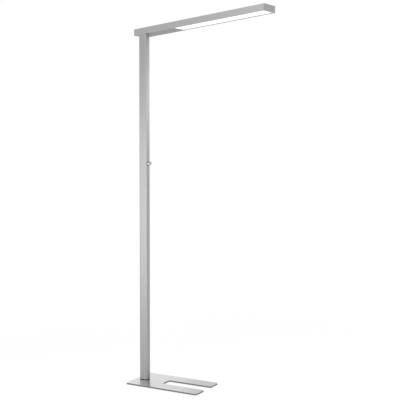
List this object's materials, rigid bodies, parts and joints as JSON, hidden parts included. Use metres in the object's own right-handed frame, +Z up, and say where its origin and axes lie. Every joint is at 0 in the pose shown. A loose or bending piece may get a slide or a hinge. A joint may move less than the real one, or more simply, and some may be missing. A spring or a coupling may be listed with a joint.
{
  "type": "floor lamp",
  "caption": "Tall office floor lamp: slotted flat base, slim upright column with a push-and-turn dimmer knob, and a long flat head with an opal light panel in its underside.",
  "frame": {"origin": "on the floor under the column's axis, on the middle pad's underside", "axes": "+Z up, +X along the head and the base's prongs, +Y across, towards the side that the head overhangs"},
  "size_m": [0.822, 0.206, 1.95],
  "materials": {
    "base_steel": "brushed along the plate, satin",
    "column_aluminium": "brushed along the column, satin",
    "head_aluminium": "anodised, satin",
    "cap_aluminium": "anodised, satin",
    "knob_aluminium": "turned, satin",
    "block_aluminium": "milled",
    "tray_aluminium": "mill finish",
    "zinc_screws": "zinc plated",
    "black_screws": "black oxide",
    "black_spacer": "matt black",
    "pad_rubber": "matt",
    "black_plastic": "fine texture",
    "white_plastic": "smooth",
    "cable_jacket": "smooth jacket",
    "lead_red": "smooth insulation",
    "dimmer_metal": "pressed sheet",
    "circuit_board": "solder mask",
    "led_board": "white solder mask",
    "opal_direct": "opal, lit",
    "opal_indirect": "opal"
  },
  "bodies": {
    "lamp": {"base_pads": "pad_rubber", "base_plate": "base_steel", "base_bolts": "zinc_screws", "foot_spacer": "black_spacer", "foot_block": "block_aluminium", "foot_screws": "zinc_screws", "column_profile": "column_aluminium", "cable_gland": "black_plastic", "gland_nut": "black_plastic", "inlet_terminal": "white_plastic", "column_cable": "cable_jacket", "dimmer_body": "dimmer_metal", "dimmer_cover": "black_plastic", "dimmer_washer": "zinc_screws", "dimmer_nut": "zinc_screws", "dimmer_spring": "zinc_screws", "dimmer_board": "circuit_board", "dimmer_connector": "white_plastic", "control_cable": "cable_jacket", "head_block": "block_aluminium", "head_block_screws": "zinc_screws", "clamp_plate": "zinc_screws", "clamp_screws": "zinc_screws", "head_housing": "head_aluminium", "end_cap_near": "cap_aluminium", "end_cap_far": "cap_aluminium", "direct_diffuser": "opal_direct", "indirect_cover": "opal_indirect", "top_cover": "head_aluminium", "led_tray": "tray_aluminium", "tray_screws": "zinc_screws", "direct_led_boards": "led_board", "indirect_led_board": "led_board", "divider": "tray_aluminium", "driver": "white_plastic", "driver_screws": "zinc_screws", "head_terminal": "white_plastic", "driver_leads": "cable_jacket", "board_connectors": "white_plastic", "led_leads": "lead_red"},
    "plunger": {"dimmer_plunger": "white_plastic"},
    "knob": {"dimmer_shaft": "zinc_screws", "dimmer_knob": "knob_aluminium", "knob_grub_screw": "black_screws"}
  },
  "joints": [
    {"name": "knob_push", "type": "slide", "parent": "lamp", "child": "plunger", "axis": [-1, 0, 0], "range_m": [0, 0.0012], "stiffness_N_per_m": 2500, "springref_m": -0.0008, "deforming": ["dimmer_spring"]},
    {"name": "knob_turn", "type": "hinge", "parent": "plunger", "child": "knob", "pos_m": [0.03, 0, 1.211], "axis": [-1, 0, 0], "range_deg": [0, 270]}
  ]
}
